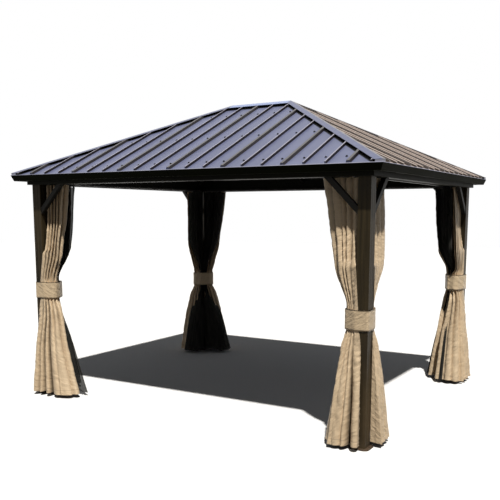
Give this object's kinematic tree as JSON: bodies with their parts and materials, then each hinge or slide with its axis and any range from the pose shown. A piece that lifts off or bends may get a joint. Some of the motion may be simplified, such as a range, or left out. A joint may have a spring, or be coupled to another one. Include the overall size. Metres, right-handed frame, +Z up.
{
  "type": "metal gazebo",
  "caption": "Freestanding metal gazebo with a ribbed hip roof on corner posts, braces under the beams, and curtains and nets gathered and tied at the posts.",
  "frame": {"origin": "on the ground under the middle of the roof", "axes": "+X along the long front, to the right as seen from the front; +Y from the front to the back; +Z up"},
  "size_m": [3.65, 3, 2.7952],
  "materials": {
    "frame_metal": "satin near-black brown powder coat",
    "plate_metal": "satin dark brown powder coat",
    "roof_metal": "satin dark grey-brown coated sheet",
    "cap_metal": "satin coated sheet, a little lighter than the slopes",
    "rafter_metal": "satin dark powder coat",
    "rail_metal": "satin dark powder coat",
    "curtain_fabric": "khaki polyester with a soft sheen",
    "net_fabric": "black open mesh",
    "tie_fabric": "khaki polyester strap"
  },
  "bodies": {
    "root": {"base_plate_back_left": "plate_metal", "base_plate_back_right": "plate_metal", "base_plate_front_left": "plate_metal", "base_plate_front_right": "plate_metal", "beam_back": "frame_metal", "beam_front": "frame_metal", "beam_left": "frame_metal", "beam_right": "frame_metal", "braces_back_left": "frame_metal", "braces_back_right": "frame_metal", "braces_front_left": "frame_metal", "braces_front_right": "frame_metal", "curtain_rails": "rail_metal", "curtains_back_left": "curtain_fabric", "curtains_back_right": "curtain_fabric", "curtains_front_left": "curtain_fabric", "curtains_front_right": "curtain_fabric", "eave_trim_back": "frame_metal", "eave_trim_front": "frame_metal", "eave_trim_left": "frame_metal", "eave_trim_right": "frame_metal", "hip_cap_back_left": "cap_metal", "hip_cap_back_right": "cap_metal", "hip_cap_front_left": "cap_metal", "hip_cap_front_right": "cap_metal", "nets_back_left": "net_fabric", "nets_back_right": "net_fabric", "nets_front_left": "net_fabric", "nets_front_right": "net_fabric", "post_back_left": "frame_metal", "post_back_right": "frame_metal", "post_front_left": "frame_metal", "post_front_right": "frame_metal", "purlins": "rafter_metal", "rafters": "rafter_metal", "ridge_beam": "rafter_metal", "ridge_cap": "cap_metal", "roof_slope_back": "roof_metal", "roof_slope_front": "roof_metal", "roof_slope_left": "roof_metal", "roof_slope_right": "roof_metal", "tie_band_back_left": "tie_fabric", "tie_band_back_right": "tie_fabric", "tie_band_front_left": "tie_fabric", "tie_band_front_right": "tie_fabric"}
  },
  "joints": []
}
